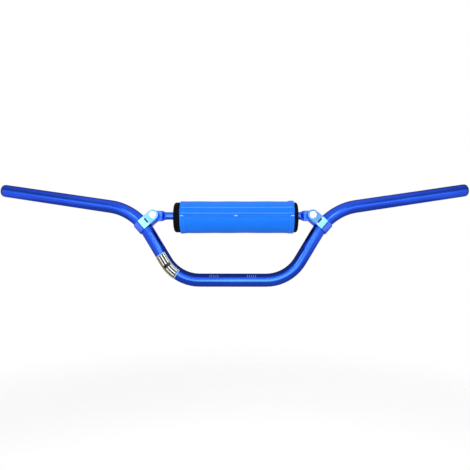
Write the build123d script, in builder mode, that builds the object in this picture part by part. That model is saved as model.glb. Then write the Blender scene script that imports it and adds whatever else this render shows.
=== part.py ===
from build123d import *

import os
from math import cos, pi, radians

# Motorcycle handlebar with a clamped-on crossbar and a wrapped foam pad.
# Millimetres. X runs along the width, the front is towards -Y, Z is up.
# The origin is the middle of the straight section that the risers clamp, on its axis.

# Handlebar tube. Its centreline's corners are given from the origin, for one half.
tube_od = 22.2
tube_wall = 3.0
tube_end_break = 0.6
lower_bend_half_span = 93.3
lower_bend_radius = 67.0
upper_bend_half_span = 164.6
upper_bend_setback = 6.0
upper_bend_rise = 117.6
upper_bend_radius = 98.0
end_half_span = 414.0
end_setback = 63.5
end_rise = 155.8

# Crossbar: a thin tube with both ends crushed flat and drilled
crossbar_od = 12.7
crossbar_wall = 1.6
crushed_gap = 0.4
blade_reach = 12.5
crush_length = 9.0
crush_shares = [0.0, 0.12, 0.5, 0.88, 1.0]
flat_seed = 0.15
blade_overhang = 8.0
blade_tip_radius = 10.0

# Crossbar clamps: a ring round the upper bend with two ears. Their outer faces are flat
# across the ring and slope a little from the pocket to the ears' ends.
clamp_offset = 18.0
clamp_width = 18.0
clamp_ring_wall = 2.5
clamp_bore_clearance = 0.1
clamp_half_thickness = 13.5
ear_end_half_thickness = 11.8
clamp_edge_break = 0.5
spot_face_half_thickness = 11.7
spot_face_clearance = 0.5
ear_reach = 23.7
ear_radius = 9.0
blade_clearance = 0.05
pocket_length = 9.0
pocket_width = 1.8
pocket_depth = 3.0
pocket_distance = 9.0

# Bolts, washers and locknuts
bolt_diameter = 6.0
bolt_length = 35.0
bolt_hole_clearance = 0.4
bolt_tip_chamfer = 0.8
hex_across_flats = 10.0
head_height = 4.0
hex_chamfer = 0.9
washer_od = 11.0
washer_thickness = 1.6
nut_height = 6.0
nut_hex_height = 4.6
nut_collar_diameter = 8.8
nut_thread_clearance = 0.1
insert_thickness = 1.4
insert_wall = 0.9
insert_setback = 0.4
insert_clearance = 0.05

# Pad: a slit foam tube that hangs on the round part of the crossbar
foam_od = 50.8
foam_bore = 18.5
foam_to_crush = 3.4
foam_edge_radius = 4.0
foam_slit_width = 0.8
foam_hang_clearance = 0.3
pad_offset = 5.0

# Pad cover: a sheet wrapped round the foam, its flap lapping over on the front.
# Angles run up from the front, about the pad's axis.
cover_inset = 9.5
cover_offset = 2.0
cover_thickness = 0.9
cover_clearance = 0.2
hem_width = 8.0
hem_build_up = 0.5
under_edge_angle = 57.0
flap_edge_angle = 13.0
lift_start_angle = 92.0
lift_end_angle = 60.0

# Touch fastener strips between the flap and the sheet under it
strip_thickness = 0.6
strip_clearance = 0.05
loop_start_angle = 6.0
hook_start_angle = 16.0
strip_end_angle = 40.0
strip_end_margin = 3.0

# Decal on the left lower bend
decal_thickness = 0.25
decal_clearance = 0.05
decal_run_on_rise = 13.5
decal_run_on_bend = 30.0
decal_start_angle = -40.0
decal_end_angle = 105.0

# End plugs: a domed head and a ribbed spigot pushed into the tube
plug_head_inset = 0.2
plug_rim_height = 1.5
plug_dome_height = 2.5
plug_spigot_length = 18.0
plug_spigot_clearance = 0.6
plug_rib_clearance = 0.05
plug_rib_width = 1.6
plug_rib_pitch = 5.0
plug_rib_count = 3

tube_radius = tube_od / 2
tube_bore_radius = tube_radius - tube_wall

os.makedirs("parts", exist_ok=True)


def finish(builder, name):
    """Label a finished piece and write it to its own file."""
    builder.part.label = name
    export_step(builder.part, f"parts/{name}.step")


def ring_sector(plane, inner_radius, thickness, start_angle, end_angle):
    """Face of a curved strip about the plane's origin, between two angles."""
    turn = end_angle - start_angle
    with BuildSketch(plane) as sector:
        with BuildLine():
            inner = CenterArc((0, 0), inner_radius, start_angle, turn)
            outer = CenterArc((0, 0), inner_radius + thickness, start_angle, turn)
            Line(inner @ 0, outer @ 0)
            Line(inner @ 1, outer @ 1)
        make_face()
    return sector.sketch


# Centreline of the bent tube, from the left end to the right end
right_corners = [
    (lower_bend_half_span, 0, 0),
    (upper_bend_half_span, upper_bend_setback, upper_bend_rise),
    (end_half_span, end_setback, end_rise),
]
left_corners = [(-x, y, z) for x, y, z in reversed(right_corners)]
bend_radii = [upper_bend_radius, lower_bend_radius, lower_bend_radius, upper_bend_radius]

with BuildLine() as centreline:
    FilletPolyline(*left_corners, *right_corners, radius=bend_radii)

bends = centreline.edges().filter_by(GeomType.CIRCLE).sort_by(Axis.X)
left_lower_bend = bends[1]
right_upper_bend = bends[-1]

left_end = centreline.wire() @ 0
left_end_direction = centreline.wire() % 0

with BuildPart() as handlebar_tube:
    with BuildSketch(Plane(origin=left_end, z_dir=left_end_direction)):
        Circle(tube_radius)
        Circle(tube_bore_radius, mode=Mode.SUBTRACT)
    sweep(path=centreline.wire())
    end_edges = handlebar_tube.edges().filter_by(GeomType.CIRCLE).filter_by(
        lambda edge: abs(edge.center().X) > end_half_span - tube_end_break
    )
    chamfer(end_edges, tube_end_break)
finish(handlebar_tube, "handlebar_tube")

# The right clamp stands square to the tube, a little way up the upper bend.
# Its bolt is square to the tube and to the crossbar, and its ears point inwards.
clamp_centre = right_upper_bend.position_at(clamp_offset, PositionMode.LENGTH)
clamp_tangent = right_upper_bend.tangent_at(clamp_offset, PositionMode.LENGTH)
if clamp_tangent.X < 0:
    clamp_tangent = -clamp_tangent
bolt_direction = Vector(0, -clamp_tangent.Z, clamp_tangent.Y).normalized()
ear_direction = bolt_direction.cross(clamp_tangent)
bolt_centre = clamp_centre + ear_direction * ear_reach

section_plane = Plane(origin=clamp_centre, x_dir=ear_direction, z_dir=clamp_tangent)
face_plane = Plane(origin=clamp_centre, x_dir=ear_direction, z_dir=bolt_direction)
bolt_plane = Plane(origin=bolt_centre, x_dir=clamp_tangent, z_dir=bolt_direction)
bolt_side_plane = Plane(origin=bolt_centre, x_dir=ear_direction, z_dir=clamp_tangent)
bolt_axis = Axis(bolt_centre, bolt_direction)

blade_thickness = 2 * crossbar_wall + crushed_gap
clamp_bore_radius = tube_radius + clamp_bore_clearance
clamp_ring_radius = clamp_bore_radius + clamp_ring_wall
crease = (clamp_ring_radius**2 - clamp_half_thickness**2) ** 0.5
ear_end = ear_reach + ear_radius
bolt_hole = bolt_diameter + bolt_hole_clearance

with BuildPart() as right_crossbar_clamp:
    with BuildSketch(section_plane):
        with BuildLine():
            outer_side = ThreePointArc(
                (-crease, clamp_half_thickness),
                (-clamp_ring_radius, 0),
                (-crease, -clamp_half_thickness),
            )
            Polyline(
                outer_side @ 1,
                (pocket_distance, -clamp_half_thickness),
                (ear_end, -ear_end_half_thickness),
                (ear_end, ear_end_half_thickness),
                (pocket_distance, clamp_half_thickness),
                outer_side @ 0,
            )
        make_face()
    extrude(amount=clamp_width / 2, both=True)
    with BuildSketch(face_plane):
        with Locations(((ear_reach - clamp_ring_radius) / 2, 0)):
            Rectangle(ear_reach + clamp_ring_radius, clamp_width)
        with Locations((ear_reach, 0)):
            Circle(ear_radius)
    extrude(amount=clamp_half_thickness, both=True, mode=Mode.INTERSECT)
    chamfer(right_crossbar_clamp.edges(), clamp_edge_break)
    with BuildSketch(Plane(origin=right_upper_bend @ 0, z_dir=right_upper_bend % 0)):
        Circle(clamp_bore_radius)
    sweep(path=right_upper_bend, mode=Mode.SUBTRACT)
    with BuildSketch(section_plane):
        with Locations((ear_end / 2, 0)):
            Rectangle(ear_end, blade_thickness + 2 * blade_clearance)
    extrude(amount=clamp_width / 2, both=True, mode=Mode.SUBTRACT)
    with BuildSketch(bolt_plane):
        Circle(bolt_hole / 2)
    extrude(amount=clamp_half_thickness, both=True, mode=Mode.SUBTRACT)
    for side in (-1, 1):
        with BuildSketch(bolt_plane.offset(side * spot_face_half_thickness)):
            Circle(washer_od / 2 + spot_face_clearance)
        extrude(amount=side * clamp_half_thickness, mode=Mode.SUBTRACT)
    with BuildSketch(face_plane.offset(clamp_half_thickness)):
        with Locations((pocket_distance, 0)):
            SlotOverall(pocket_length, pocket_width, rotation=90)
    extrude(amount=-pocket_depth, mode=Mode.SUBTRACT)

# Fasteners of one clamp, on the bolt's axis
head_seat = spot_face_half_thickness + washer_thickness
nut_seat = -head_seat
bolt_tip = head_seat - bolt_length
hex_corner_radius = hex_across_flats / 2 / cos(radians(30))
hex_flat_radius = hex_corner_radius - hex_chamfer
bolt_radius = bolt_diameter / 2

with BuildPart() as right_clamp_bolt:
    with BuildSketch(bolt_side_plane):
        Polygon(
            (0, bolt_tip),
            (bolt_radius - bolt_tip_chamfer, bolt_tip),
            (bolt_radius, bolt_tip + bolt_tip_chamfer),
            (bolt_radius, head_seat),
            (hex_corner_radius, head_seat),
            (hex_corner_radius, head_seat + head_height - hex_chamfer / 2),
            (hex_flat_radius, head_seat + head_height),
            (0, head_seat + head_height),
            align=None,
        )
    revolve(axis=bolt_axis)
    with BuildSketch(bolt_plane):
        RegularPolygon(hex_across_flats / 2, 6, major_radius=False)
    extrude(amount=bolt_length, both=True, mode=Mode.INTERSECT)

with BuildPart() as right_front_washer:
    with BuildSketch(bolt_plane.offset(spot_face_half_thickness)):
        Circle(washer_od / 2)
        Circle(bolt_hole / 2, mode=Mode.SUBTRACT)
    extrude(amount=washer_thickness)

with BuildPart() as right_rear_washer:
    with BuildSketch(bolt_plane.offset(nut_seat)):
        Circle(washer_od / 2)
        Circle(bolt_hole / 2, mode=Mode.SUBTRACT)
    extrude(amount=washer_thickness)

nut_bore_radius = bolt_radius + nut_thread_clearance / 2
insert_radius = nut_bore_radius + insert_wall
nut_rear = nut_seat - nut_height
nut_shoulder = nut_seat - nut_hex_height
insert_rear = nut_rear + insert_setback

with BuildPart() as right_locknut:
    with BuildSketch(bolt_side_plane):
        Polygon(
            (0, nut_seat),
            (hex_flat_radius, nut_seat),
            (hex_corner_radius, nut_seat - hex_chamfer / 2),
            (hex_corner_radius, nut_shoulder + hex_chamfer / 2),
            (hex_flat_radius, nut_shoulder),
            (nut_collar_diameter / 2, nut_shoulder),
            (nut_collar_diameter / 2, nut_rear),
            (0, nut_rear),
            align=None,
        )
    revolve(axis=bolt_axis)
    with BuildSketch(bolt_plane):
        RegularPolygon(hex_across_flats / 2, 6, major_radius=False)
    extrude(amount=bolt_length, both=True, mode=Mode.INTERSECT)
    with BuildSketch(bolt_plane.offset(nut_rear)):
        Circle(nut_bore_radius)
    extrude(amount=nut_height, mode=Mode.SUBTRACT)
    with BuildSketch(bolt_plane.offset(nut_rear)):
        Circle(insert_radius + insert_clearance)
    extrude(amount=insert_setback + insert_thickness, mode=Mode.SUBTRACT)

with BuildPart() as right_nut_insert:
    with BuildSketch(bolt_plane.offset(insert_rear)):
        Circle(insert_radius)
        Circle(nut_bore_radius, mode=Mode.SUBTRACT)
    extrude(amount=insert_thickness)

# Plug in the tube's right end, on the axis of the arm
right_end = centreline.wire() @ 1
right_end_direction = centreline.wire() % 1
plug_plane = Plane(origin=right_end, z_dir=right_end_direction)
plug_axis = Axis(right_end, right_end_direction)
plug_head_radius = tube_radius - plug_head_inset
spigot_radius = tube_bore_radius - plug_spigot_clearance
rib_radius = tube_bore_radius - plug_rib_clearance

with BuildPart() as right_end_plug:
    with BuildSketch(plug_plane):
        Circle(plug_head_radius)
    extrude(amount=plug_rim_height + plug_dome_height)
    dome_edge = right_end_plug.faces().sort_by(plug_axis)[-1].edges()
    fillet(dome_edge, plug_dome_height)
    with BuildSketch(plug_plane):
        Circle(spigot_radius)
    extrude(amount=-plug_spigot_length)
    for rib in range(plug_rib_count):
        with BuildSketch(plug_plane.offset(-plug_rib_pitch * (rib + 1))):
            Circle(rib_radius)
        extrude(amount=plug_rib_width)

# The left-hand pieces mirror the right-hand ones
paired_pieces = {
    "crossbar_clamp": right_crossbar_clamp,
    "clamp_bolt": right_clamp_bolt,
    "front_washer": right_front_washer,
    "rear_washer": right_rear_washer,
    "locknut": right_locknut,
    "nut_insert": right_nut_insert,
    "end_plug": right_end_plug,
}
for name, right_piece in paired_pieces.items():
    finish(right_piece, f"right_{name}")
    with BuildPart() as left_piece:
        mirror(right_piece.part, about=Plane.YZ)
    finish(left_piece, f"left_{name}")

# Crossbar, between the two bolts. Crushing keeps the length of each wall's outline,
# so a circle of diameter d turns into a slot with straight sides of half the lost girth.
crossbar_centre = Vector(0, bolt_centre.Y, bolt_centre.Z)
full_crush = crossbar_od - blade_thickness
blade_straight = pi * full_crush / 2
crush_end = bolt_centre.X - blade_reach
crush_start = crush_end - crush_length
blade_tip = bolt_centre.X + blade_overhang


def crushed_section(distance, diameter, share):
    """Outline of one wall surface at a share of the full crush, across the crossbar."""
    straight = blade_straight * share
    end_radius = (diameter - full_crush * share) / 2
    plane = Plane(
        origin=crossbar_centre + Vector(distance, 0, 0),
        x_dir=Vector(1, 0, 0).cross(bolt_direction),
        z_dir=(1, 0, 0),
    )
    with BuildSketch(plane) as section:
        with BuildLine():
            seed = flat_seed * (1 - share)
            half = straight / 2 + seed
            height = (end_radius**2 - seed**2) ** 0.5
            front = Line((-half, height), (half, height))
            rear = Line((half, -height), (-half, -height))
            ThreePointArc(front @ 1, (straight / 2 + end_radius, 0), rear @ 0)
            ThreePointArc(rear @ 1, (-straight / 2 - end_radius, 0), front @ 0)
        make_face()
    return section.sketch


def crushed_tube(diameter):
    """Right half of the solid inside one wall surface of the crossbar."""
    spacing = crush_length / (len(crush_shares) - 1)
    with BuildPart() as half_tube:
        extrude(crushed_section(0, diameter, 0), amount=crush_start)
        loft(
            [
                crushed_section(crush_start + spacing * step, diameter, share)
                for step, share in enumerate(crush_shares)
            ]
        )
        extrude(crushed_section(crush_end, diameter, 1), amount=blade_tip - crush_end)
    return half_tube.part


with BuildPart() as crossbar:
    add(crushed_tube(crossbar_od))
    add(crushed_tube(crossbar_od - 2 * crossbar_wall), mode=Mode.SUBTRACT)
    mirror(crossbar.part, about=Plane.YZ)
    with BuildSketch(Plane(origin=crossbar_centre, x_dir=(1, 0, 0), z_dir=bolt_direction)):
        SlotOverall(2 * blade_tip, 2 * blade_tip_radius)
    extrude(amount=crossbar_od, both=True, mode=Mode.INTERSECT)
    with BuildSketch(bolt_plane):
        Circle(bolt_hole / 2)
    bolt_hole_cut = extrude(amount=crossbar_od, both=True, mode=Mode.SUBTRACT)
    mirror(bolt_hole_cut, about=Plane.YZ, mode=Mode.SUBTRACT)
finish(crossbar, "crossbar")

# Pad. Its plane looks along the crossbar from the right, with the front to its right
# and Z up, so that angles run up from the front.
pad_drop = (foam_bore - crossbar_od) / 2 - foam_hang_clearance
pad_centre = crossbar_centre + Vector(pad_offset, 0, -pad_drop)
pad_plane = Plane(origin=pad_centre, x_dir=(0, -1, 0), z_dir=(-1, 0, 0))
foam_radius = foam_od / 2
foam_length = 2 * (crush_start - foam_to_crush - pad_offset)

with BuildPart() as pad_foam:
    with BuildSketch(pad_plane):
        Circle(foam_radius)
    extrude(amount=foam_length / 2, both=True)
    fillet(pad_foam.edges().filter_by(GeomType.CIRCLE), foam_edge_radius)
    with BuildSketch(pad_plane):
        Circle(foam_bore / 2)
        with Locations((-foam_radius / 2, 0)):
            Rectangle(foam_radius, foam_slit_width)
    extrude(amount=foam_length / 2, both=True, mode=Mode.SUBTRACT)
finish(pad_foam, "pad_foam")

cover_length = foam_length - 2 * cover_inset
cover_radius = foam_radius + cover_clearance
flap_lift = cover_thickness + 2 * strip_thickness + 3 * strip_clearance
cover_plane = Plane(
    origin=pad_centre + Vector(cover_offset, 0, 0), x_dir=pad_plane.x_dir, z_dir=pad_plane.z_dir
)
under_turn = under_edge_angle + 360 - lift_start_angle


def wrap_side(radius):
    """One side of the wrapped sheet, from its hidden edge to the flap's free edge."""
    under = CenterArc((0, 0), radius, under_edge_angle, -under_turn)
    flap = CenterArc((0, 0), radius + flap_lift, lift_end_angle, flap_edge_angle - lift_end_angle)
    Spline(under @ 1, flap @ 0, tangents=(under % 1, flap % 0))
    return under @ 0, flap @ 1


def wrap_section(plane, thickness):
    """Section of the wrapped sheet."""
    with BuildSketch(plane) as section:
        with BuildLine():
            inner_start, inner_end = wrap_side(cover_radius)
            outer_start, outer_end = wrap_side(cover_radius + thickness)
            Line(inner_start, outer_start)
            Line(inner_end, outer_end)
        make_face()
    return section.sketch


with BuildPart() as pad_cover:
    extrude(wrap_section(cover_plane, cover_thickness), amount=cover_length / 2, both=True)
    for end in (-1, 1):
        hem_plane = cover_plane.offset(end * (cover_length - hem_width) / 2)
        hem_section = wrap_section(hem_plane, cover_thickness + hem_build_up)
        extrude(hem_section, amount=hem_width / 2, both=True)
finish(pad_cover, "pad_cover")

strip_length = cover_length - 2 * (hem_width + strip_end_margin)
loop_inner_radius = cover_radius + cover_thickness + strip_clearance
hook_inner_radius = loop_inner_radius + strip_thickness + strip_clearance

for name, inner_radius, start_angle in (
    ("cover_loop_strip", loop_inner_radius, loop_start_angle),
    ("cover_hook_strip", hook_inner_radius, hook_start_angle),
):
    strip_section = ring_sector(
        cover_plane, inner_radius, strip_thickness, start_angle, strip_end_angle
    )
    with BuildPart() as strip:
        extrude(strip_section, amount=strip_length / 2, both=True)
    finish(strip, name)

# Decal: starts on the left rise and runs down into the bend. Its angles run about the
# tube from the front, and positive ones lie on the outer side.
rise_direction = left_lower_bend % 0
decal_start = left_lower_bend @ 0 - rise_direction * decal_run_on_rise
front_square_to_rise = (Vector(0, -1, 0) + rise_direction * rise_direction.Y).normalized()
decal_plane = Plane(origin=decal_start, x_dir=front_square_to_rise, z_dir=rise_direction)

with BuildLine() as decal_path:
    Line(decal_start, left_lower_bend @ 0)
    add(left_lower_bend.trim(0, decal_run_on_bend / left_lower_bend.length))

decal_section = ring_sector(
    decal_plane, tube_radius + decal_clearance, decal_thickness, decal_start_angle, decal_end_angle
)
with BuildPart() as bend_decal:
    sweep(decal_section, path=decal_path.wire())
finish(bend_decal, "bend_decal")
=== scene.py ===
"""A high-rise motorcycle handlebar with a clamped-on crossbar and a wrapped foam pad."""

from math import atan2, cos, degrees, exp, pi, radians, sin, tau

import bmesh
import bpy
from mathutils import Matrix, Vector


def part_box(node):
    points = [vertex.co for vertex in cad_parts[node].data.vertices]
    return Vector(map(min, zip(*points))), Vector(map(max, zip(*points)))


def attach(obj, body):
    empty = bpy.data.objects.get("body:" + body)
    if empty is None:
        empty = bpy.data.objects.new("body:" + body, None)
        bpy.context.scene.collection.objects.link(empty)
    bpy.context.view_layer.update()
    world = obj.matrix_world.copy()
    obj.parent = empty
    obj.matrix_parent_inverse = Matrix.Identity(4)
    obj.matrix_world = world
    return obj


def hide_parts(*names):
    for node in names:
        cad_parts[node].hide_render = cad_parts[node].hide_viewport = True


MM = 0.001

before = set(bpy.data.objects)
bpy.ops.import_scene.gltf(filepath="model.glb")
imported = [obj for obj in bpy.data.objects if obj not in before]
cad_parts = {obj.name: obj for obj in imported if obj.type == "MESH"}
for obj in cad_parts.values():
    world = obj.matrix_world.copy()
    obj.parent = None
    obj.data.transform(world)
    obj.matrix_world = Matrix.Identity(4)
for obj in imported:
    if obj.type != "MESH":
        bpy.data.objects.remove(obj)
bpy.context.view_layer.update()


# ---------------------------------------------------------------- nodes and colours


def linear(hex_colour):
    """An sRGB hex colour as Blender's linear red, green, blue and alpha."""
    values = [int(hex_colour[i : i + 2], 16) / 255 for i in (1, 3, 5)]
    curve = [v / 12.92 if v <= 0.04045 else ((v + 0.055) / 1.055) ** 2.4 for v in values]
    return (*curve, 1.0)


WHITE = linear("#FFFFFF")


def add_node(tree, kind, inputs=None, **settings):
    """Add a node with its settings, and fill or link its input sockets."""
    node = tree.nodes.new(kind)
    for setting, value in settings.items():
        setattr(node, setting, value)
    for socket, value in (inputs or {}).items():
        if isinstance(value, bpy.types.NodeSocket):
            tree.links.new(value, node.inputs[socket])
        else:
            node.inputs[socket].default_value = value
    return node


def combine(tree, operation, *values):
    """One step of arithmetic on sockets or numbers."""
    return add_node(tree, "ShaderNodeMath", dict(enumerate(values)), operation=operation).outputs[0]


def empty_material(name):
    """A material whose node tree is still empty."""
    material = bpy.data.materials.new(name)
    material.use_nodes = True
    material.node_tree.nodes.clear()
    return material, material.node_tree


# ---------------------------------------------------------------- camera, lamps and surroundings

AIM = Vector((3.7, 0.0, 75.72)) * MM
CAMERA_TURN = radians(0.72)
CAMERA_DISTANCE = 800 * MM
CAMERA_LENS = 36.54  # millimetres, on a sensor 36 mm wide
SENSOR_WIDTH = 36
NEAREST_SEEN = 10 * MM

SHED_LIGHT = 0.19  # what the white surroundings shed on matt surfaces

FLOOR_SIZE = 6.0
FLOOR_DROP = 450 * MM
FLOOR_FADE = (0.45, 1.5)  # metres from its middle, where the paper starts and ends to fade
FLOOR_LIFT = 0.46  # what takes the lit paper up to white, for the eye and for gloss alone

CEILING_PLACE = (0, 0.1, 0.75)
CEILING_SIZE = (5.0, 2.6)
# Metres to either side and the ceiling's brightness there, white in the middle.
CEILING_LEVELS = ((0.50, 1.0), (0.60, 0.8), (0.74, 0.8), (0.86, 0.45))
CEILING_END_LEVEL = 0.45
CEILING_BACK = {"From Min": 0.33, "From Max": 0.5, "To Min": 1.0, "To Max": 0.5}

CARDS = (
    # name, place, width, depth, grey level. The black card under the pad gives the bottom
    # straight its dark upper flank, and the grey one gives every run its deeper lower half.
    ("black_card", (0, 0.07, 0.0755), 0.19, 0.25, 0.25),
    ("grey_card", (0, -0.05, -0.25), 1.5, 0.9, 0.5),
)

LAMP_WALL = -0.98  # the front lamps' y
SOFTBOXES = (
    # name, x and z on the lamp wall, width, height, tilt in degrees, radiance. Each gives one
    # run of tube or one clamp the highlight that it is named for.
    ("front", 0.01, -0.06, 0.32, 0.40, 0, 5.8),
    ("middle", 0.04, 0.33, 0.22, 0.16, 0, 5.0),
    ("left_rise", -0.28, -0.05, 0.24, 0.36, 31, 4.2),
    ("right_rise", 0.31, -0.05, 0.22, 0.36, -31, 4.0),
    ("left_clamp", -0.33, 0.37, 0.22, 0.15, 0, 3.0),
    ("left_ear", -0.19, 0.50, 0.22, 0.11, 0, 1.1),
    ("right_clamp", 0.30, 0.37, 0.09, 0.09, 0, 2.8),
    ("left_bend", -0.50, 0.59, 0.24, 0.26, 0, 7.5),
    ("right_bend", 0.45, 0.59, 0.26, 0.26, 0, 7.5),
    ("left_shoulder", -0.87, 0.21, 0.46, 0.13, 31, 3.0),
    ("right_shoulder", 0.85, 0.21, 0.46, 0.13, -31, 3.0),
    ("left_arm", -1.34, 0.13, 0.60, 0.14, 0, 2.6),
    ("right_arm", 1.34, 0.13, 0.60, 0.14, 0, 2.6),
)
BACK_LAMP_PLACE = (0.45, 1.10, 0.60)
BACK_LAMP_TARGET = (0, 0, 0.09)
BACK_LAMP = (0.60, 0.40, 1.8)  # width, height, radiance


def look_at(thing, target):
    """Turn a camera or lamp so that it faces the target."""
    thing.rotation_euler = (target - thing.location).to_track_quat("-Z", "Y").to_euler()


def add_camera():
    """The camera stands square in front of the bar, a hair to its right."""
    lens = bpy.data.cameras.new("studio_camera")
    lens.lens = CAMERA_LENS
    lens.sensor_width = SENSOR_WIDTH
    lens.clip_start = NEAREST_SEEN
    camera = bpy.data.objects.new("studio_camera", lens)
    bpy.context.scene.collection.objects.link(camera)
    towards_camera = Vector((sin(CAMERA_TURN), -cos(CAMERA_TURN), 0))
    camera.location = AIM + towards_camera * CAMERA_DISTANCE
    look_at(camera, AIM)
    bpy.context.scene.camera = camera


def add_softbox(name, place, target, width, height, radiance):
    """A flat soft lamp of a given brightness, in place of a bulb of given watts."""
    lamp = bpy.data.lights.new(name, "AREA")
    lamp.shape = "RECTANGLE"
    lamp.size = width
    lamp.size_y = height
    lamp.energy = radiance * pi * width * height
    box = bpy.data.objects.new(name, lamp)
    bpy.context.scene.collection.objects.link(box)
    box.location = place
    look_at(box, Vector(target))
    return box


def seen_by_eye_or_gloss(tree):
    """1 for what the camera sees, straight or through gloss or glass, and 0 for shed light."""
    ray = add_node(tree, "ShaderNodeLightPath").outputs
    seen = combine(tree, "MAXIMUM", ray["Is Camera Ray"], ray["Is Glossy Ray"])
    return combine(tree, "MAXIMUM", seen, ray["Is Transmission Ray"])


def light_surroundings():
    """White all round for the eye and for reflections, softer for what it sheds on the bar."""
    world = bpy.data.worlds.new("white_studio")
    bpy.context.scene.world = world
    world.use_nodes = True
    tree = world.node_tree
    tree.nodes.clear()
    strength = add_node(tree, "ShaderNodeMapRange",
                        {"Value": seen_by_eye_or_gloss(tree), "To Min": SHED_LIGHT, "To Max": 1.0})
    sky = add_node(tree, "ShaderNodeBackground", {"Color": WHITE, "Strength": strength.outputs[0]})
    add_node(tree, "ShaderNodeOutputWorld", {"Surface": sky.outputs[0]})


def add_level_sheet(name, place, width, depth):
    """A flat sheet that lies level, with its place in its mesh."""
    bpy.ops.object.select_all(action="DESELECT")
    bpy.ops.mesh.primitive_plane_add(size=1, location=place)
    sheet = bpy.context.object
    sheet.name = name
    sheet.scale = (width, depth, 1)
    bpy.ops.object.transform_apply(location=True, rotation=False, scale=True)
    return sheet


def hide_from(thing, *rays):
    """Keep a thing of the studio's out of some kinds of ray."""
    for ray in rays:
        setattr(thing, "visible_" + ray, False)


def add_floor():
    """Pale paper floor well under the bar, fading into the white round it."""
    floor = add_level_sheet("paper_floor", (0, 0, -FLOOR_DROP), FLOOR_SIZE, FLOOR_SIZE)
    material, tree = empty_material("pale_paper")
    place = add_node(tree, "ShaderNodeTexCoord").outputs["Object"]
    away = add_node(tree, "ShaderNodeVectorMath", {0: place, 1: (0, 0, -FLOOR_DROP)},
                    operation="DISTANCE").outputs["Value"]
    fade = add_node(tree, "ShaderNodeMapRange",
                    {"Value": away, "From Min": FLOOR_FADE[0], "From Max": FLOOR_FADE[1]},
                    interpolation_type="SMOOTHSTEP")
    paper = add_node(tree, "ShaderNodeBsdfDiffuse", {"Color": linear("#F1F1F0")})
    lift = combine(tree, "MULTIPLY", seen_by_eye_or_gloss(tree), FLOOR_LIFT)
    glow = add_node(tree, "ShaderNodeEmission", {"Color": WHITE, "Strength": lift})
    lit = add_node(tree, "ShaderNodeAddShader", {0: paper.outputs[0], 1: glow.outputs[0]})
    clear = add_node(tree, "ShaderNodeBsdfTransparent")
    mixed = add_node(tree, "ShaderNodeMixShader",
                     {0: fade.outputs[0], 1: lit.outputs[0], 2: clear.outputs[0]})
    add_node(tree, "ShaderNodeOutputMaterial", {"Surface": mixed.outputs[0]})
    floor.data.materials.append(material)


def add_ceiling():
    """The studio's white ceiling, dimmer towards its ends and its back."""
    ceiling = add_level_sheet("white_ceiling", CEILING_PLACE, *CEILING_SIZE)
    material, tree = empty_material("ceiling_panels")
    place = add_node(tree, "ShaderNodeSeparateXYZ",
                     {0: add_node(tree, "ShaderNodeTexCoord").outputs["Object"]})
    aside = combine(tree, "ABSOLUTE", place.outputs["X"])
    panels = add_node(tree, "ShaderNodeValToRGB", {0: aside})
    stops = panels.color_ramp.elements
    stops[0].color = WHITE
    stops[1].color = (CEILING_END_LEVEL, CEILING_END_LEVEL, CEILING_END_LEVEL, 1)
    for distance, level in CEILING_LEVELS:
        stops.new(distance).color = (level, level, level, 1)
    far = add_node(tree, "ShaderNodeMapRange", {"Value": place.outputs["Y"], **CEILING_BACK},
                   interpolation_type="SMOOTHSTEP")
    glow = add_node(tree, "ShaderNodeEmission",
                    {"Color": panels.outputs[0], "Strength": far.outputs[0]})
    add_node(tree, "ShaderNodeOutputMaterial", {"Surface": glow.outputs[0]})
    ceiling.data.materials.append(material)
    hide_from(ceiling, "camera", "shadow", "transmission")


def add_card(name, place, width, depth, level):
    """A photographer's flat card of a given grey level, which only reflections see."""
    card = add_level_sheet(name, place, width, depth)
    material, tree = empty_material(name + "_paper")
    shade = add_node(tree, "ShaderNodeEmission", {"Color": WHITE, "Strength": level})
    add_node(tree, "ShaderNodeOutputMaterial", {"Surface": shade.outputs[0]})
    card.data.materials.append(material)
    hide_from(card, "camera", "diffuse", "shadow", "transmission")


add_camera()
light_surroundings()
add_floor()
add_ceiling()
for card in CARDS:
    add_card(*card)
for name, x, z, width, height, tilt, radiance in SOFTBOXES:
    box = add_softbox(name + "_softbox", (x, LAMP_WALL, z), (x, 0, z), width, height, radiance)
    box.rotation_euler.rotate_axis("Z", radians(tilt))
add_softbox("back_softbox", BACK_LAMP_PLACE, BACK_LAMP_TARGET, *BACK_LAMP)
bpy.context.scene.view_settings.view_transform = "Standard"


# ---------------------------------------------------------------- helpers for finishes


def new_material(name, constants):
    """A material with a Principled surface of the given constants, and the piece's own place."""
    material, tree = empty_material(name)
    surface = add_node(tree, "ShaderNodeBsdfPrincipled", constants)
    add_node(tree, "ShaderNodeOutputMaterial", {"Surface": surface.outputs[0]})
    spot = add_node(tree, "ShaderNodeTexCoord").outputs["Object"]
    return material, tree, surface, spot


def mottle(tree, spot, size_mm, low, high, detail=2.0, stretch=(1, 1, 1)):
    """A cloudy value between low and high, with spots about size_mm across."""
    stretched = add_node(tree, "ShaderNodeMapping", {"Vector": spot, "Scale": stretch})
    noise = add_node(tree, "ShaderNodeTexNoise", {
        "Vector": stretched.outputs[0], "Scale": 1 / (size_mm * MM), "Detail": detail})
    # Noise seldom leaves 0.3 to 0.7, so that span is spread over the whole range.
    ranged = add_node(tree, "ShaderNodeMapRange", {
        "Value": noise.outputs[0], "From Min": 0.3, "From Max": 0.7, "To Min": low, "To Max": high})
    return ranged.outputs[0]


def blend_colours(tree, amount, first, second):
    """Mix two colours, given as hex text or as sockets."""
    first = linear(first) if isinstance(first, str) else first
    second = linear(second) if isinstance(second, str) else second
    mix = add_node(tree, "ShaderNodeMix", {0: amount, 6: first, 7: second}, data_type="RGBA")
    return mix.outputs[2]


def within(tree, value, low, high):
    """1 where the value lies between low and high, otherwise 0."""
    return combine(tree, "MULTIPLY", combine(tree, "GREATER_THAN", value, low),
                   combine(tree, "LESS_THAN", value, high))


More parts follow.
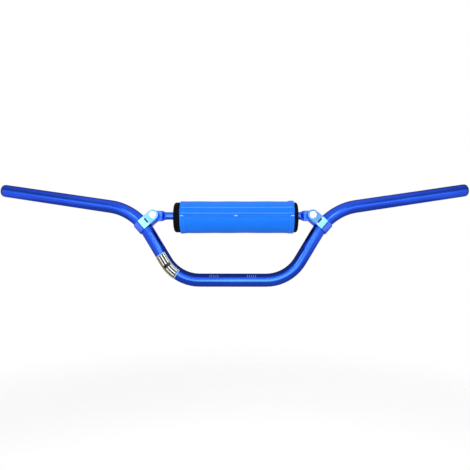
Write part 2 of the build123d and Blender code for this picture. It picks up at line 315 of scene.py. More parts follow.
def all_of(tree, first, *others):
    """1 where every mask is 1, otherwise 0."""
    for mask in others:
        first = combine(tree, "MULTIPLY", first, mask)
    return first


def reach_along(tree, point, direction):
    """How far a point lies along a direction."""
    return add_node(tree, "ShaderNodeVectorMath", {0: point, 1: direction},
                    operation="DOT_PRODUCT").outputs["Value"]


def bump(tree, height, depth_mm, surface):
    """Raise the surface by a height pattern of the given real depth."""
    relief = add_node(tree, "ShaderNodeBump",
                      {"Height": height, "Distance": depth_mm * MM, "Strength": 1.0})
    tree.links.new(relief.outputs[0], surface.inputs["Normal"])


# ---------------------------------------------------------------- metals

# The graduated scale on the clamping section, from its middle to each side.
SCALE_PITCH = 3.4 * MM
SCALE_LINE_SHARE = 0.36
SCALE_SPAN = (23.8 * MM, 40.6 * MM)
SCALE_BAND = (5.6 * MM, 9.6 * MM)

# The right clamp's own frame; the left one mirrors it. The pocket's three spans are towards the
# ears, along the bar and towards the bolt's head, and the crease's is towards the ears.
CLAMP_CENTRE = Vector((151.242, 5.177, 92.490)) * MM
CLAMP_TANGENT = Vector((0.659339, 0.088843, 0.746578))
EARS = Vector((-0.751846, 0.077911, 0.65472))
BOLT_DIRECTION = Vector((0.0, -0.992994, 0.118166))
POCKET = ((7.5 * MM, 10.5 * MM), (-4.6 * MM, 4.6 * MM), (5.0 * MM, 13.8 * MM))
CREASE = (-3.53 * MM, -2.33 * MM)
FLAT_FACING = 0.985

BOLT_PLACE = Vector((133.423, 7.023, 108.007)) * MM
BOLT_UP = Vector((0.0, 0.118166, 0.992994))
THREAD_PITCH = 1 * MM
SHANK_RADIUS = 3.08 * MM
BOLT_TIPS_FROM = 20 * MM  # the y behind which the bolts show their thread


def anodised_blue_tube():
    """Blue anodising on drawn aluminium tube: deep blue with one soft bright streak along each
    run, faint draw lines, and a graduated scale etched pale on the clamping section."""
    material, tree, surface, spot = new_material("anodised_blue_tube", {
        "Metallic": 1.0, "Specular Tint": linear("#0E1C5A"),
        "Coat Weight": 0.3, "Coat Roughness": 0.18})
    dye = blend_colours(tree, mottle(tree, spot, 45, 0.0, 1.0), "#174AD2", "#1F54E0")

    axes = add_node(tree, "ShaderNodeSeparateXYZ", {0: spot}).outputs
    across = combine(tree, "ABSOLUTE", axes["X"])
    phase = combine(tree, "FRACT", combine(tree, "DIVIDE", across, SCALE_PITCH))
    etched = all_of(tree, combine(tree, "LESS_THAN", phase, SCALE_LINE_SHARE),
                    within(tree, across, *SCALE_SPAN), within(tree, axes["Z"], *SCALE_BAND),
                    combine(tree, "LESS_THAN", axes["Y"], 0.0))
    tree.links.new(blend_colours(tree, etched, dye, "#7C96E6"), surface.inputs["Base Color"])

    drawn = mottle(tree, spot, 1.2, -0.03, 0.03, detail=3.0)
    handled = mottle(tree, spot, 22, 0.19, 0.25)
    matt_marks = combine(tree, "MULTIPLY_ADD", etched, 0.45, combine(tree, "ADD", drawn, handled))
    tree.links.new(matt_marks, surface.inputs["Roughness"])
    bump(tree, mottle(tree, spot, 1.8, 0, 1, detail=4.0), 0.004, surface)
    return material


def anodised_blue_crossbar():
    """The same anodising on thinner tube, a shade lighter and duller, with a faint mottled relief
    all over."""
    material, tree, surface, spot = new_material("anodised_blue_crossbar", {
        "Metallic": 1.0, "Specular Tint": linear("#1C3078"),
        "Coat Weight": 0.15, "Coat Roughness": 0.25})
    tree.links.new(blend_colours(tree, mottle(tree, spot, 18, 0, 1), "#2F62E2", "#3F74EE"),
                   surface.inputs["Base Color"])
    tree.links.new(mottle(tree, spot, 4, 0.34, 0.42), surface.inputs["Roughness"])
    bump(tree, mottle(tree, spot, 3.0, 0, 1, detail=3.0), 0.02, surface)
    return material


def bright_dipped_clamps():
    """Machined, bright-dipped and dyed aluminium: mirror-bright flats that flare almost white
    under the lamp, and faint lines left by the cutter."""
    material, tree, surface, spot = new_material("bright_dipped_blue_clamps", {
        "Metallic": 1.0, "Specular Tint": linear("#6C90C8"),
        "Coat Weight": 0.3, "Coat Roughness": 0.06})
    outside = blend_colours(tree, mottle(tree, spot, 9, 0, 1), "#4A70FA", "#5478FF")
    flats = blend_colours(tree, mottle(tree, spot, 9, 0, 1), "#62A0E4", "#70AAEC")
    # The cutter's lines are 0.35 mm apart.
    cutter = add_node(tree, "ShaderNodeTexWave", {
        "Vector": spot, "Scale": 1 / (0.35 * MM) / tau, "Distortion": 0.4}, bands_direction="X")
    bump(tree, cutter.outputs[1], 0.0012, surface)

    axes = add_node(tree, "ShaderNodeSeparateXYZ", {0: spot}).outputs
    mirrored = add_node(tree, "ShaderNodeCombineXYZ", {
        0: combine(tree, "ABSOLUTE", axes["X"]), 1: axes["Y"], 2: axes["Z"]}).outputs[0]
    from_centre = add_node(tree, "ShaderNodeVectorMath", {0: mirrored, 1: CLAMP_CENTRE},
                           operation="SUBTRACT").outputs[0]
    to_ears, along_bar, to_head = (
        reach_along(tree, from_centre, line) for line in (EARS, CLAMP_TANGENT, BOLT_DIRECTION))
    # The milled flats took the dye paler than the ring's drawn outside.
    normal = add_node(tree, "ShaderNodeTexCoord").outputs["Normal"]
    facing = combine(tree, "ABSOLUTE", reach_along(tree, normal, BOLT_DIRECTION))
    dye = blend_colours(tree, combine(tree, "GREATER_THAN", facing, FLAT_FACING), outside, flats)
    # The crease where each flat meets the ring is painted as a thin dark line of shade.
    dye = blend_colours(tree, within(tree, to_ears, *CREASE), dye, "#16406E")
    # The narrow pocket between the ring and the ears is painted dark, as painted shade in the
    # recess.
    in_pocket = all_of(tree, *(within(tree, reach, *span)
                               for reach, span in zip((to_ears, along_bar, to_head), POCKET)))
    dye = blend_colours(tree, in_pocket, dye, "#0B2C48")
    tree.links.new(dye, surface.inputs["Base Color"])
    fine = mottle(tree, spot, 2.0, 0.10, 0.16, detail=3)
    tree.links.new(combine(tree, "MULTIPLY_ADD", in_pocket, 0.5, fine), surface.inputs["Roughness"])
    return material


def zinc_plated_steel():
    """Bright zinc plating on the bolts, washers and nuts: pale silver, a little cloudy, with the
    thread's turns showing on the bolts' tips."""
    material, tree, surface, spot = new_material("bright_zinc_plate", {"Metallic": 1.0})
    cloudy = mottle(tree, spot, 2.5, 0, 1, detail=3)
    tree.links.new(blend_colours(tree, cloudy, "#CDD1D4", "#E0E0DA"), surface.inputs["Base Color"])
    tree.links.new(mottle(tree, spot, 1.5, 0.22, 0.36, detail=3), surface.inputs["Roughness"])
    # The thread of an M6 bolt climbs 1 mm a turn.
    along = reach_along(tree, spot, BOLT_DIRECTION)
    turns = combine(tree, "PINGPONG", combine(tree, "DIVIDE", along, THREAD_PITCH), 0.5)
    axes = add_node(tree, "ShaderNodeSeparateXYZ", {0: spot}).outputs
    aside = combine(tree, "SUBTRACT", combine(tree, "ABSOLUTE", axes["X"]), BOLT_PLACE.x)
    above = combine(tree, "SUBTRACT", reach_along(tree, spot, BOLT_UP), BOLT_PLACE.dot(BOLT_UP))
    from_axis = combine(tree, "SQRT", combine(tree, "ADD", combine(tree, "POWER", aside, 2.0),
                                              combine(tree, "POWER", above, 2.0)))
    thread = all_of(tree, turns, combine(tree, "LESS_THAN", from_axis, SHANK_RADIUS),
                    combine(tree, "GREATER_THAN", axes["Y"], BOLT_TIPS_FROM))
    bump(tree, thread, 0.9, surface)
    return material


# ---------------------------------------------------------------- plastics, foam, cloth and thread

# Flat size of the cover's cloth: round the pad, and along it with both hems, in millimetres.
SHEET_GIRTH = 188.2
SHEET_LENGTH = 204.0
YARN_PITCH = 0.9


def moulded_nylon():
    """The locknuts' nylon rings: milky white, slightly waxy."""
    material, tree, surface, spot = new_material("moulded_nylon", {
        "Roughness": 0.42, "Subsurface Weight": 0.15, "Subsurface Scale": 0.5 * MM})
    tree.links.new(blend_colours(tree, mottle(tree, spot, 2, 0, 1), "#D9DBD2", "#E8E9E2"),
                   surface.inputs["Base Color"])
    bump(tree, mottle(tree, spot, 0.8, 0, 1), 0.02, surface)
    return material


def moulded_black_plug():
    """Moulded polyethylene end plugs: blue-black, half matt, with a fine spark-eroded grain."""
    material, tree, surface, spot = new_material("moulded_polyethylene_plug", {})
    tree.links.new(blend_colours(tree, mottle(tree, spot, 5, 0, 1), "#10162E", "#18203E"),
                   surface.inputs["Base Color"])
    tree.links.new(mottle(tree, spot, 1.2, 0.38, 0.5), surface.inputs["Roughness"])
    bump(tree, mottle(tree, spot, 0.5, 0, 1, detail=3), 0.03, surface)
    return material


def closed_cell_foam():
    """Black nitrile foam of the pad: dull, with the small pores of its skin."""
    material, tree, surface, spot = new_material("closed_cell_foam", {
        "Roughness": 0.9, "Specular IOR Level": 0.1,
        "Sheen Weight": 0.015, "Sheen Roughness": 0.5})
    skin = mottle(tree, spot, 9, 0, 1, detail=4)
    tree.links.new(blend_colours(tree, skin, "#020204", "#060709"), surface.inputs["Base Color"])
    # The pores are about 1.1 mm apart.
    pores = add_node(tree, "ShaderNodeTexVoronoi",
                     {"Vector": spot, "Scale": 1 / (1.1 * MM), "Randomness": 1.0})
    bump(tree, pores.outputs["Distance"], 0.25, surface)
    return material


def coated_nylon_cover():
    """Blue vinyl-coated nylon cloth: bright even blue with a soft gloss, and the weave pressing
    faintly through the coating."""
    material, tree, surface, spot = new_material("vinyl_coated_nylon", {
        "Specular Tint": linear("#6A8EDC"), "Sheen Weight": 0.12, "Sheen Roughness": 0.4,
        "Sheen Tint": linear("#D6E6FF")})
    flat = add_node(tree, "ShaderNodeUVMap", uv_map="cut_cloth").outputs[0]
    # The yarns are 0.5 mm apart; they are drawn coarser, as a close view can just show.
    cloth = add_node(tree, "ShaderNodeMapping", {
        "Vector": flat, "Scale": (SHEET_GIRTH / YARN_PITCH, SHEET_LENGTH / YARN_PITCH, 1)})
    yarns = add_node(tree, "ShaderNodeSeparateXYZ", {0: cloth.outputs[0]}).outputs
    warp, weft = (
        combine(tree, "SINE", combine(tree, "MULTIPLY", yarns[axis], pi)) for axis in "XY")
    weave = combine(tree, "MULTIPLY", warp, weft)
    weave = combine(tree, "MULTIPLY", combine(tree, "ADD", weave, 1.0), 0.5)
    slack = mottle(tree, spot, 26, 0, 1, detail=2, stretch=(0.35, 1, 1))
    shade = blend_colours(tree, slack, "#0C72EE", "#1679F8")
    raised = combine(tree, "MULTIPLY", weave, 0.12)
    tree.links.new(blend_colours(tree, raised, shade, "#4094FF"), surface.inputs["Base Color"])
    tree.links.new(mottle(tree, spot, 12, 0.42, 0.52, detail=3), surface.inputs["Roughness"])
    bump(tree, combine(tree, "ADD", raised, slack), 0.35, surface)
    return material


def sewing_thread(name, low, high):
    """Twisted polyester thread with a slight lustre."""
    material, tree, surface, spot = new_material(name, {"Roughness": 0.5, "Sheen Weight": 0.2})
    tree.links.new(blend_colours(tree, mottle(tree, spot, 1.5, 0, 1), low, high),
                   surface.inputs["Base Color"])
    bump(tree, mottle(tree, spot, 0.25, 0, 1), 0.05, surface)
    return material


def touch_fastener_cloth():
    """Blue nap of the touch fastener's two strips, a shade deeper than the cover."""
    material, tree, surface, spot = new_material("touch_fastener_nap", {
        "Roughness": 0.95, "Sheen Weight": 0.5})
    nap = mottle(tree, spot, 0.8, 0, 1, detail=4)
    tree.links.new(blend_colours(tree, nap, "#1470E4", "#1E80F4"), surface.inputs["Base Color"])
    bump(tree, mottle(tree, spot, 0.5, 0, 1, detail=4), 0.3, surface)
    return material


FOAM = closed_cell_foam()
COVER = coated_nylon_cover()
PALE_THREAD = sewing_thread("pale_blue_polyester_thread", "#80D2FF", "#A8EEFF")
BLUE_THREAD = sewing_thread("blue_polyester_thread", "#1C84FC", "#3A9AFF")
CLAMPS = bright_dipped_clamps()
ZINC = zinc_plated_steel()
FASTENER = touch_fastener_cloth()

CAD_FINISHES = {
    "handlebar_tube": anodised_blue_tube(),
    "crossbar": anodised_blue_crossbar(),
    "crossbar_clamp": CLAMPS,
    "clamp_bolt": ZINC,
    "front_washer": ZINC,
    "rear_washer": ZINC,
    "locknut": ZINC,
    "nut_insert": moulded_nylon(),
    "end_plug": moulded_black_plug(),
    "cover_hook_strip": FASTENER,
    "cover_loop_strip": FASTENER,
}
for node_name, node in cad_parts.items():
    finish = CAD_FINISHES.get(node_name.removeprefix("left_").removeprefix("right_"))
    if finish:
        node.data.materials.clear()
        node.data.materials.append(finish)


# ---------------------------------------------------------------- shaping helpers


def start_afresh():
    """Leave edit mode and select nothing."""
    if bpy.context.object and bpy.context.object.mode != "OBJECT":
        bpy.ops.object.mode_set(mode="OBJECT")
    bpy.ops.object.select_all(action="DESELECT")


def take(piece):
    """Make one piece the only selected and active object."""
    start_afresh()
    piece.select_set(True)
    bpy.context.view_layer.objects.active = piece


def face_outwards(piece):
    """Turn every face of the piece to its outside."""
    take(piece)
    bpy.ops.object.mode_set(mode="EDIT")
    bpy.ops.mesh.select_all(action="SELECT")
    bpy.ops.mesh.normals_make_consistent(inside=False)
    bpy.ops.object.mode_set(mode="OBJECT")


def apply_modifiers(piece):
    """Apply every modifier of the piece, in order."""
    take(piece)
    for modifier in list(piece.modifiers):
        bpy.ops.object.modifier_apply(modifier=modifier.name)


def settle(piece, name, material):
    """Fix the piece's place in its mesh, name it, give it its finish and tie it to the bar."""
    take(piece)
    bpy.ops.object.transform_apply(location=True, rotation=True, scale=True)
    piece.name = name
    piece.data.name = name
    piece.data.materials.clear()
    piece.data.materials.append(material)
    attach(piece, "root")


# ---------------------------------------------------------------- pad cover

FOAM_LOW, FOAM_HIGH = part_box("pad_foam")
COVER_LOW, COVER_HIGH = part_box("pad_cover")
PAD_CENTRE = (FOAM_LOW + FOAM_HIGH) / 2
PAD_RADIUS = (FOAM_HIGH.z - FOAM_LOW.z) / 2
COVER_MIDDLE = (COVER_LOW.x + COVER_HIGH.x) / 2
COVER_HALF = (COVER_HIGH.x - COVER_LOW.x) / 2

CLOTH = 0.8 * MM
CLOTH_SLACK = 0.25 * MM  # between the foam and the cloth
# The wrap runs down from its start, once round the pad, and ends in the flap over its start.
# Angles are in degrees, up from the front.
WRAP_START = 57.0
LIFT_START = 92.0 - 360
LIFT_END = 60.0 - 360
WRAP_END = 9.0 - 360
FLAP_LIFT = 2.25 * MM
UPPER_SEAM = 33.5 - 360
LOWER_SEAM = 12.3 - 360
UNDER_SEAM = 4.5 - 360

HEM_WIDTH = 8.0 * MM
HEM_TAIL = 7.0 * MM
LEFT_HEM_RISE = 0.3 * MM
RIGHT_HEM_RISE = 0.7 * MM
HEM_SEAMS = (2.4 * MM, 6.4 * MM)  # from the cover's end
FOLD_RADIUS = 0.5 * MM
STRAIGHT_HALF = COVER_HALF - FOLD_RADIUS
FOLD_LENGTH = pi * FOLD_RADIUS

STITCH_PITCH = 3.6 * MM
STITCH_LENGTH = 2.7 * MM
STITCH_THICKNESS = 0.75 * MM

# The grid that the cover is shaped from. Its outer rows lie closer, for the hems' folds.
GRID_TURNS = 200
GRID_ROWS = 130
PLAIN_SHARE = 0.7
PLAIN_MARGIN = 9 * MM


def smooth_step(value, low, high):
    """0 below low, 1 above high, and a smooth rise between."""
    share = min(max((value - low) / (high - low), 0.0), 1.0)
    return share * share * (3 - 2 * share)


def dimple(distance, width):
    """A groove's depth share, 1 on its line and fading over its width."""
    return exp(-((distance / width) ** 2))


def pad_point(x, angle, radius):
    """Point at a distance from the pad's axis."""
    turn = radians(angle)
    return Vector((x, PAD_CENTRE.y - radius * cos(turn), PAD_CENTRE.z + radius * sin(turn)))


def wrap_radius(angle):
    """Middle of the cloth from the pad's axis, on an even wrap."""
    lift = FLAP_LIFT * smooth_step(-angle, -LIFT_START, -LIFT_END)
    return PAD_RADIUS + CLOTH_SLACK + CLOTH / 2 + lift


def wrap_relief(x, angle):
    """How far the cloth stands off the even wrap: hems, pulled seams, slack and a loose edge."""
    from_end = COVER_HALF - abs(x - COVER_MIDDLE)
    along = x - COVER_MIDDLE
    turn = radians(angle)

    # The turned hems stand proud, the right one more and most at its top.
    rise = LEFT_HEM_RISE
    if x > COVER_MIDDLE:
        rise = RIGHT_HEM_RISE * (1 + 0.7 * max(sin(turn), 0))
    relief = rise * (1 - smooth_step(from_end, HEM_WIDTH - 1.5 * MM, HEM_WIDTH + 2.5 * MM))

    # Each seam pulls the cloth in, deepest at every stitch.
    for seam in HEM_SEAMS:
        pull = 0.30 + 0.10 * cos(tau * turn * PAD_RADIUS / STITCH_PITCH)
        relief -= pull * MM * dimple(from_end - seam, 0.9 * MM)
    for seam, reach in ((UPPER_SEAM, 2.2), (LOWER_SEAM, 1.9), (UNDER_SEAM, 2.1)):
        if angle < LIFT_END or seam == UNDER_SEAM:
            pull = 0.22 + 0.08 * cos(tau * along / STITCH_PITCH)
            relief -= pull * MM * dimple(angle - seam, reach)

    # Slack lies in two sizes of shallow waves.
    relief += 0.22 * MM * sin(along / (23 * MM) + 1.1) * cos(turn * 3 + 0.6)
    relief += 0.14 * MM * sin(along / (9 * MM) + turn * 2)

    # The flap's last few degrees bend back to the pad, and its free edge is wavy.
    relief -= 0.75 * MM * smooth_step(-angle, -WRAP_END - 7.0, -WRAP_END - 1.0)
    edge = smooth_step(-angle, -WRAP_END - 9.0, -WRAP_END)
    waves = 0.3 * dimple(along + 73 * MM, 9 * MM) + 0.4 * dimple(along - 18 * MM, 17 * MM)
    waves += 0.12 * (1 + sin(along / (14 * MM) + 0.5))
    relief += edge * waves * MM

    # The left end flares out at the bottom.
    flare = (1 - smooth_step(x - COVER_LOW.x, 0, 11 * MM)) * dimple(angle + 88, 30)
    return relief + 0.9 * MM * flare


def cloth_point(x, angle):
    """Point on the middle of the cover's cloth."""
    return pad_point(x, angle, wrap_radius(angle) + wrap_relief(x, angle))


def row_place(flat_x):
    """Where a row of the cut cloth ends up: its x, and how deep it is turned under the hem."""
    side = 1 if flat_x > 0 else -1
    reach = abs(flat_x)
    if reach <= STRAIGHT_HALF:
        return COVER_MIDDLE + side * reach, 0.0
    if reach <= STRAIGHT_HALF + FOLD_LENGTH:
        turn = (reach - STRAIGHT_HALF) / FOLD_RADIUS
        x = COVER_MIDDLE + side * (STRAIGHT_HALF + FOLD_RADIUS * sin(turn))
        return x, FOLD_RADIUS * (1 - cos(turn))
    turned_under = reach - STRAIGHT_HALF - FOLD_LENGTH
    return COVER_MIDDLE + side * (STRAIGHT_HALF - turned_under), 2 * FOLD_RADIUS


def make_cover():
    """The cover is cut flat, hemmed at both ends, and wrapped round the foam."""
    start_afresh()
    bpy.ops.mesh.primitive_grid_add(x_subdivisions=GRID_TURNS, y_subdivisions=GRID_ROWS, size=1)
    cover = bpy.context.object
    cover.data.uv_layers.active.name = "cut_cloth"
    plain_half = STRAIGHT_HALF - PLAIN_MARGIN
    flat_half = STRAIGHT_HALF + FOLD_LENGTH + HEM_TAIL
    for vertex in cover.data.vertices:
        across, along = vertex.co.x + 0.5, vertex.co.y * 2
        angle = WRAP_START + (WRAP_END - WRAP_START) * across
        side = 1 if along > 0 else -1
        share = abs(along)
        if share < PLAIN_SHARE:
            flat_x = share / PLAIN_SHARE * plain_half
        else:
            outer = (share - PLAIN_SHARE) / (1 - PLAIN_SHARE)
            flat_x = plain_half + outer * (flat_half - plain_half)
        x, depth = row_place(side * flat_x)
        vertex.co = pad_point(x, angle, wrap_radius(angle) + wrap_relief(x, angle) - depth)
    face_outwards(cover)
    wall = cover.modifiers.new("cloth", "SOLIDIFY")
    wall.thickness = CLOTH
    wall.offset = 0
    wall.use_even_offset = True
    apply_modifiers(cover)
    bpy.ops.object.shade_smooth_by_angle(angle=radians(50))
    settle(cover, "wrapped_pad_cover", COVER)
    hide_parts("pad_cover")


make_cover()


# ---------------------------------------------------------------- stitching

STITCH_PINCH = 0.55  # the share of its thickness that a stitch loses at its ends
STITCH_DIVE = 0.34 * MM
STITCH_PROUD = CLOTH / 2 + 0.12 * MM  # from the cloth's middle to a stitch's
HEM_SEAM_RADIUS = PAD_RADIUS + 1.5 * MM
HEM_SEAM_SHIFT = 0.3  # how far the first stitch is set in, as a share of a stitch
HEM_SEAM_RUNS = ((5.0, LIFT_END - 2), (LIFT_END - 2, WRAP_END + 3))  # on the wrap, on the flap
TACK_PROUD = CLOTH / 2 + 0.3 * MM
TACK_ROW = 0.6 * MM
TACK_ANGLE = UNDER_SEAM - 0.4
TACKS = (COVER_LOW.x + 3.4 * MM, COVER_MIDDLE - 1.5 * MM, COVER_HIGH.x - 2.8 * MM)
SEAM_INSET = 4 * MM
ALONG_PAD = Vector((1, 0, 0))


def make_stitch():
    """One stitch: a short thread, pinched where it dives into the cloth."""
    start_afresh()
    bpy.ops.mesh.primitive_cylinder_add(vertices=8, radius=STITCH_THICKNESS / 2,
                                        depth=STITCH_LENGTH, end_fill_type="TRIFAN",
                                        rotation=(0, pi / 2, 0))
    stitch = bpy.context.object
    bpy.ops.object.transform_apply(location=False, rotation=True, scale=False)
    bpy.ops.object.mode_set(mode="EDIT")
    for cut in (0, STITCH_LENGTH / 4, -STITCH_LENGTH / 4):
        bpy.ops.mesh.select_all(action="SELECT")
        bpy.ops.mesh.bisect(plane_co=(cut, 0, 0), plane_no=(1, 0, 0))
    bpy.ops.object.mode_set(mode="OBJECT")
    for vertex in stitch.data.vertices:
        reach = abs(vertex.co.x) / (STITCH_LENGTH / 2)
        pinch = 1 - STITCH_PINCH * reach**2
        vertex.co.y *= pinch
        vertex.co.z = vertex.co.z * pinch - STITCH_DIVE * reach**2
    bpy.ops.object.shade_smooth()
    return stitch


def sew(stitch, name, places, thread):
    """Copy the stitch to each place, given as its middle, its run and its outward direction."""
    copies = []
    for middle, run, outward in places:
        copy = stitch.copy()
        copy.data = stitch.data.copy()
        side = outward.cross(run).normalized()
        turn = Matrix((run, side, outward)).transposed().to_4x4()
        copy.matrix_world = Matrix.Translation(middle) @ turn
        bpy.context.scene.collection.objects.link(copy)
        copies.append(copy)
    start_afresh()
    for copy in copies:
        copy.select_set(True)
    bpy.context.view_layer.objects.active = copies[0]
    bpy.ops.object.join()
    settle(copies[0], name, thread)


def outward_at(angle):
    """Direction away from the pad's axis."""
    return Vector((0, -cos(radians(angle)), sin(radians(angle))))


def seam_along(angle):
    """Places of the stitches of a seam that runs the length of the pad."""
    places = []
    outward = outward_at(angle)
    count = int((2 * COVER_HALF - 2 * SEAM_INSET) / STITCH_PITCH)
    for i in range(count + 1):
        x = COVER_MIDDLE + (i - count / 2) * STITCH_PITCH
        places.append((cloth_point(x, angle) + outward * STITCH_PROUD, ALONG_PAD, outward))
    return places


def seam_around(x, first_angle, last_angle):
    """Places of the stitches of a hem seam that runs round the pad."""
    places = []
    step = degrees(STITCH_PITCH / HEM_SEAM_RADIUS)
    count = int((first_angle - last_angle) / step)
    for i in range(count + 1):
        angle = first_angle - step * (i + HEM_SEAM_SHIFT)
        if angle < last_angle:
            break
        outward = outward_at(angle)
        run = outward.cross(ALONG_PAD).normalized()
        places.append((cloth_point(x, angle) + outward * STITCH_PROUD, run, outward))
    return places


def bar_tack(x):
    """Places of the stitches of a bar tack: three short rows, close together."""
    places = []
    for row in (-1, 0, 1):
        angle = TACK_ANGLE + row * degrees(TACK_ROW / PAD_RADIUS)
        outward = outward_at(angle)
        for side in (-1, 1):
            middle = cloth_point(x + side * STITCH_LENGTH / 2, angle) + outward * TACK_PROUD
            places.append((middle, ALONG_PAD, outward))
    return places


def hem_seams(end, inwards):
    """Places of the stitches of both seams of one hem, on the wrap and on the flap."""
    places = []
    for inset in HEM_SEAMS:
        for first_angle, last_angle in HEM_SEAM_RUNS:
            places += seam_around(end + inwards * inset, first_angle, last_angle)
    return places


stitch = make_stitch()
sew(stitch, "flap_upper_seam", seam_along(UPPER_SEAM), PALE_THREAD)
sew(stitch, "flap_lower_seam", seam_along(LOWER_SEAM), PALE_THREAD)
sew(stitch, "under_sheet_seam", seam_along(UNDER_SEAM), BLUE_THREAD)
sew(stitch, "bar_tacks", [place for x in TACKS for place in bar_tack(x)], PALE_THREAD)
sew(stitch, "left_hem_seams", hem_seams(COVER_LOW.x, 1), BLUE_THREAD)
sew(stitch, "right_hem_seams", hem_seams(COVER_HIGH.x, -1), BLUE_THREAD)
bpy.data.objects.remove(stitch)


# ---------------------------------------------------------------- foam core

RIM_RADIUS = 4 * MM
BORE_RADIUS = 9.25 * MM
SLIT_WIDTH = 0.9 * MM
SLIT_PLACE = PAD_RADIUS / 2 + 4 * MM  # the slit's middle, behind the pad's axis
OVERSHOOT = 1.2  # how much longer than the foam its cutters are


def make_foam():
    """The slit foam core: a turned roll with soft rims, bored for the crossbar and slit behind."""
    start_afresh()
    length = FOAM_HIGH.x - FOAM_LOW.x
    bpy.ops.mesh.primitive_cylinder_add(vertices=96, radius=PAD_RADIUS, depth=length,
                                        location=PAD_CENTRE, rotation=(0, pi / 2, 0),
                                        end_fill_type="NGON")
    foam = bpy.context.object
    bpy.ops.object.transform_apply(location=True, rotation=True, scale=True)
    bpy.ops.object.mode_set(mode="EDIT")
    bpy.ops.mesh.select_all(action="DESELECT")
    shape = bmesh.from_edit_mesh(foam.data)
    for edge in shape.edges:
        edge.select = abs(edge.verts[0].co.x - edge.verts[1].co.x) < MM
    bmesh.update_edit_mesh(foam.data)
    bpy.ops.mesh.bevel(offset=RIM_RADIUS, segments=5, affect="EDGES")
    start_afresh()

    bpy.ops.mesh.primitive_cylinder_add(vertices=64, radius=BORE_RADIUS, depth=length * OVERSHOOT,
                                        location=PAD_CENTRE, rotation=(0, pi / 2, 0))
    bore = bpy.context.object
    bpy.ops.object.select_all(action="DESELECT")
    bpy.ops.mesh.primitive_cube_add(size=1, location=PAD_CENTRE + Vector((0, SLIT_PLACE, 0)))
    slit = bpy.context.object
    slit.scale = (length * OVERSHOOT, PAD_RADIUS, SLIT_WIDTH)
    for cutter in (bore, slit):
        cut = foam.modifiers.new("cut", "BOOLEAN")
        cut.operation = "DIFFERENCE"
        cut.object = cutter
        cut.solver = "EXACT"
    apply_modifiers(foam)
    bpy.data.objects.remove(bore)
    bpy.data.objects.remove(slit)
    bpy.ops.object.shade_smooth_by_angle(angle=radians(35))
    settle(foam, "slit_foam_core", FOAM)
    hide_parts("pad_foam")


make_foam()


# ---------------------------------------------------------------- decal

TUBE_RADIUS = 11.1 * MM
BEND_RADIUS = 67 * MM
BEND_TOP = Vector((-112.856, 1.646, 32.255)) * MM
RISE = Vector((0.51795, -0.04359, -0.85430))  # down the left rise, towards its lower bend
DECAL_ON_RISE = 13.5 * MM
DECAL_ON_BEND = 30.0 * MM
DECAL_FROM, DECAL_TO = -40.5, 105.5  # degrees round the tube, from its front to its outside
DECAL_GAP = 0.06 * MM
FILM = 0.22 * MM
RISE_STEPS, BEND_STEPS = 9, 20

# The print's UVs are millimetres divided by 100: round the tube (field, stripes, edges), and
# along it (panels, ends).
UV_UNIT = 100 * MM
FIELD = (-0.044, 0.066)
STRIPES = ((0.019, 0.044), (-0.027, -0.002))
GOLD_FROM, SILVER_TO = 0.080, -0.052
PANELS = ((0.022, 0.190), (0.242, 0.408))
NEAR_END_TO, FAR_END_FROM = 0.014, 0.421


def printed_decal():
    """Gloss vinyl decal: black ground with two white panels, each with two black stripes along
    the tube, an olive-gold edge on the outer side and a pale one on the inner side."""
    material, tree, surface, spot = new_material("printed_vinyl_decal", {
        "Specular IOR Level": 0.25})
    flat = add_node(tree, "ShaderNodeUVMap", uv_map="print").outputs[0]
    place = add_node(tree, "ShaderNodeSeparateXYZ", {0: flat}).outputs
    around, along = place["X"], place["Y"]
    panels = combine(tree, "MAXIMUM", *(within(tree, along, *span) for span in PANELS))
    stripes = combine(tree, "MAXIMUM", *(within(tree, around, *span) for span in STRIPES))
    white = all_of(tree, within(tree, around, *FIELD), panels,
                   combine(tree, "SUBTRACT", 1.0, stripes))
    ends = combine(tree, "MAXIMUM", combine(tree, "LESS_THAN", along, NEAR_END_TO),
                   combine(tree, "GREATER_THAN", along, FAR_END_FROM))
    colour = blend_colours(tree, white, "#040503", "#F0F3F0")
    for mask, ink in ((combine(tree, "GREATER_THAN", around, GOLD_FROM), "#84855A"),
                      (combine(tree, "LESS_THAN", around, SILVER_TO), "#B4C4BE"),
                      (ends, "#A9C8DA")):
        colour = blend_colours(tree, mask, colour, ink)
    tree.links.new(colour, surface.inputs["Base Color"])
    tree.links.new(mottle(tree, spot, 6, 0.22, 0.34), surface.inputs["Roughness"])
    bump(tree, mottle(tree, spot, 5, 0, 1), 0.05, surface)
    return material


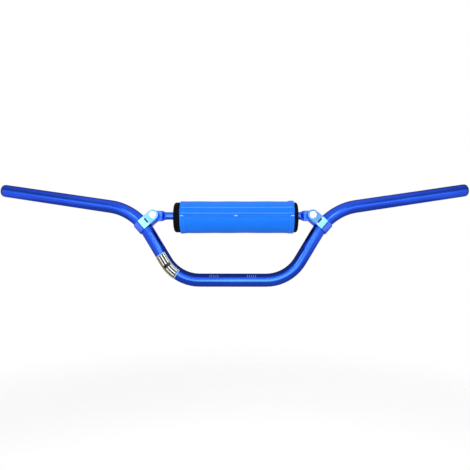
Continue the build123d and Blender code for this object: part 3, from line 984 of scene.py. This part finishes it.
def make_decal():
    """The decal starts as an arc of the tube's outline, runs down the rise and round the bend."""
    start = BEND_TOP - RISE * DECAL_ON_RISE
    front = (Vector((0, -1, 0)) + RISE * RISE.y).normalized()
    outer = RISE.cross(front).normalized()
    start_afresh()
    bpy.ops.mesh.primitive_circle_add(vertices=180, radius=TUBE_RADIUS + DECAL_GAP)
    decal = bpy.context.object
    turn = Matrix((front, outer, RISE)).transposed().to_4x4()
    decal.matrix_world = Matrix.Translation(start) @ turn
    bpy.ops.object.transform_apply(location=True, rotation=True, scale=True)

    bpy.ops.object.mode_set(mode="EDIT")
    shape = bmesh.from_edit_mesh(decal.data)
    for vertex in shape.verts:
        arm = vertex.co - start
        vertex.select = not DECAL_FROM < degrees(atan2(arm.dot(outer), arm.dot(front))) < DECAL_TO
    bmesh.update_edit_mesh(decal.data)
    bpy.ops.mesh.delete(type="VERT")
    bpy.ops.mesh.select_all(action="SELECT")
    for _ in range(RISE_STEPS):
        bpy.ops.mesh.extrude_region_move(
            TRANSFORM_OT_translate={"value": RISE * (DECAL_ON_RISE / RISE_STEPS)})
    to_centre = (Vector((1, 0, 0)) - RISE * RISE.x).normalized()
    bend_centre = BEND_TOP + to_centre * BEND_RADIUS
    hinge = RISE.cross(to_centre).normalized()
    bpy.ops.mesh.spin(steps=BEND_STEPS, angle=-DECAL_ON_BEND / BEND_RADIUS, center=bend_centre,
                      axis=hinge)
    bpy.ops.mesh.select_all(action="SELECT")
    bpy.ops.mesh.remove_doubles(threshold=0.01 * MM)
    bpy.ops.object.mode_set(mode="OBJECT")

    # The print lies flat on the tube: each corner's place is read round the tube and along it.
    mesh = decal.data
    layer = mesh.uv_layers.new(name="print")
    to_front = -hinge if hinge.y > 0 else hinge
    for loop in mesh.loops:
        point = mesh.vertices[loop.vertex_index].co
        along = (point - start).dot(RISE)
        on_axis, radial = start + RISE * along, -to_centre
        if along > DECAL_ON_RISE:
            arm = point - bend_centre
            turn = atan2(arm.dot(RISE), -arm.dot(to_centre))
            along = DECAL_ON_RISE + turn * BEND_RADIUS
            radial = -(to_centre * cos(turn) - RISE * sin(turn))
            on_axis = bend_centre + radial * BEND_RADIUS
        offset = point - on_axis
        around = atan2(offset.dot(radial), offset.dot(to_front)) * TUBE_RADIUS
        layer.data[loop.index].uv = (around / UV_UNIT, along / UV_UNIT)
    face_outwards(decal)
    # An open sheet has no inside, so its faces on the rise tell whether it faces the tube.
    facing = 0.0
    for face in mesh.polygons:
        arm = face.center - start
        along = arm.dot(RISE)
        if along < DECAL_ON_RISE:
            facing += face.normal.dot(arm - RISE * along)
    if facing < 0:
        mesh.flip_normals()
    film = decal.modifiers.new("film", "SOLIDIFY")
    film.thickness = FILM
    film.offset = 1
    apply_modifiers(decal)
    bpy.ops.object.shade_smooth_by_angle(angle=radians(40))
    settle(decal, "rise_decal", printed_decal())
    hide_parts("bend_decal")


make_decal()
